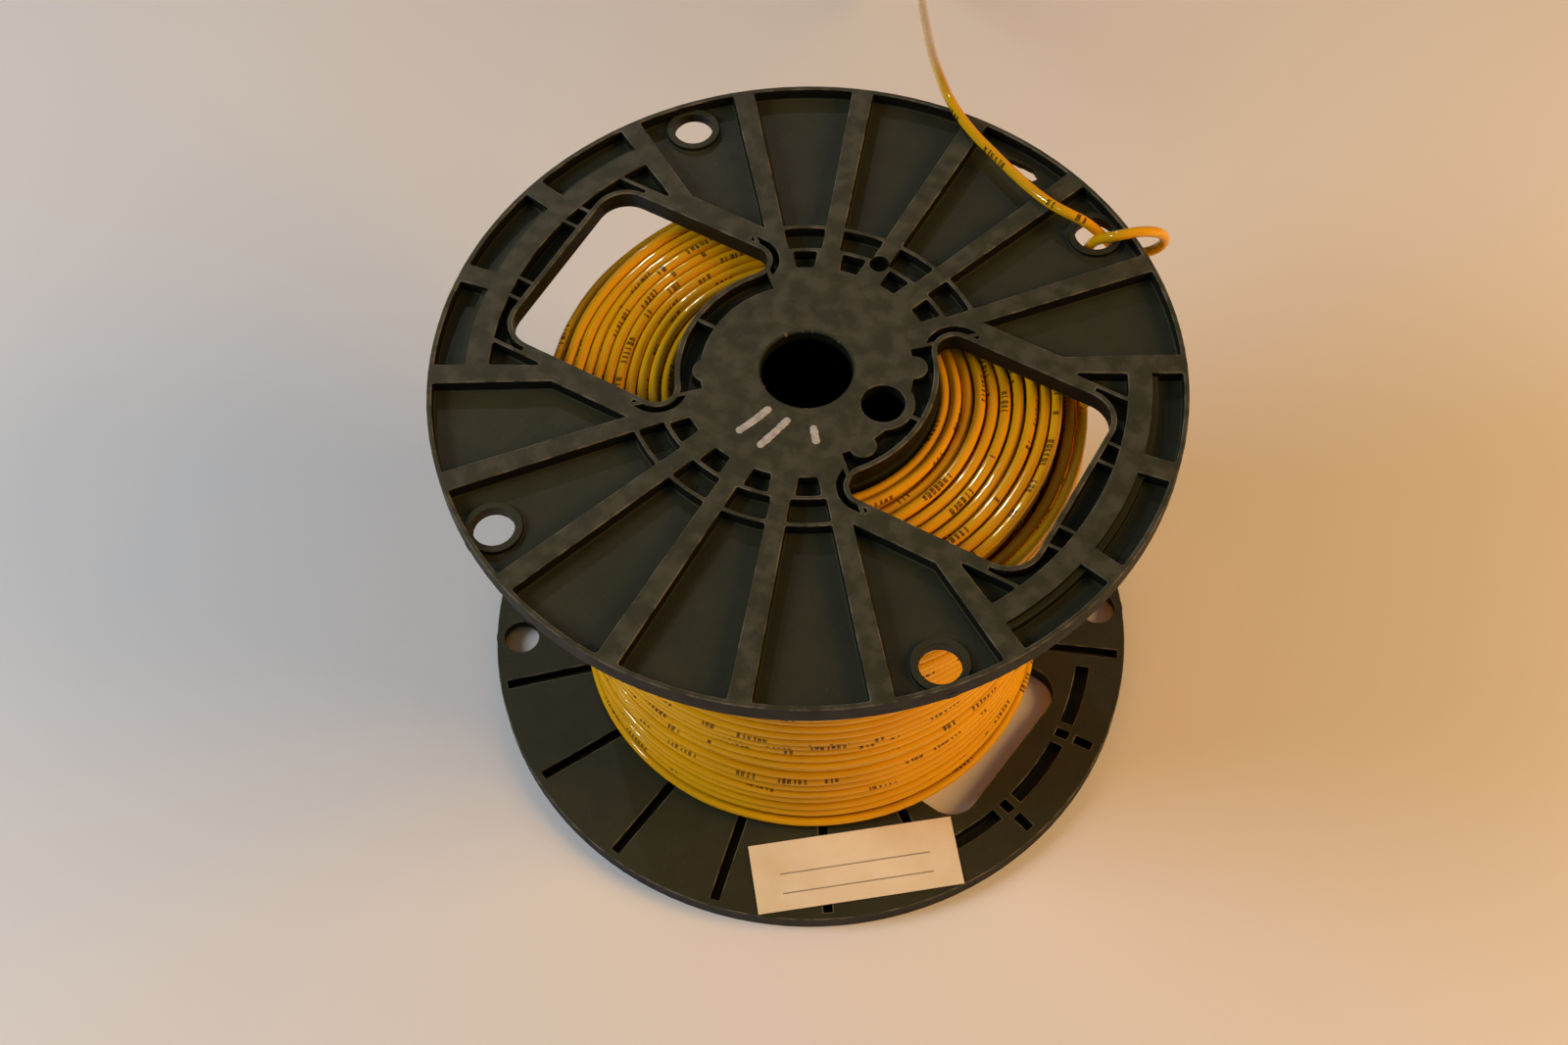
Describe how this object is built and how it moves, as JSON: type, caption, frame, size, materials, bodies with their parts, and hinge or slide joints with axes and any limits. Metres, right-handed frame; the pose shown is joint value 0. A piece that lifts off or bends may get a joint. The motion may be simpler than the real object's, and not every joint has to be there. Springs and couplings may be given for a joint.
{
  "type": "wire spool",
  "caption": "Ribbed plastic spool with two windowed flanges, wound with insulated building wire whose loose end is hitched round the rim.",
  "frame": {"origin": "on the spool's axis, in the plane of the lower flange's outer face, where the spool stands", "axes": "+Z along the spool's axis, up; the upper flange's windows lie on the X axis"},
  "size_m": [0.2027, 0.3103, 0.1245],
  "materials": {
    "moulded_plastic": "moulded black, faint sheen",
    "wire_jacket": "glossy yellow nylon jacket",
    "conductor": "bright bare copper strands",
    "label_paper": "cream printed paper, bare"
  },
  "bodies": {
    "root": {"upper_flange": "moulded_plastic", "lower_flange": "moulded_plastic", "barrel": "moulded_plastic", "wire_inner_layers": "wire_jacket", "wire_outer_layer": "wire_jacket", "wire_rim_loop": "wire_jacket", "wire_tail": "wire_jacket", "wire_conductor": "conductor", "label": "label_paper"}
  },
  "joints": []
}
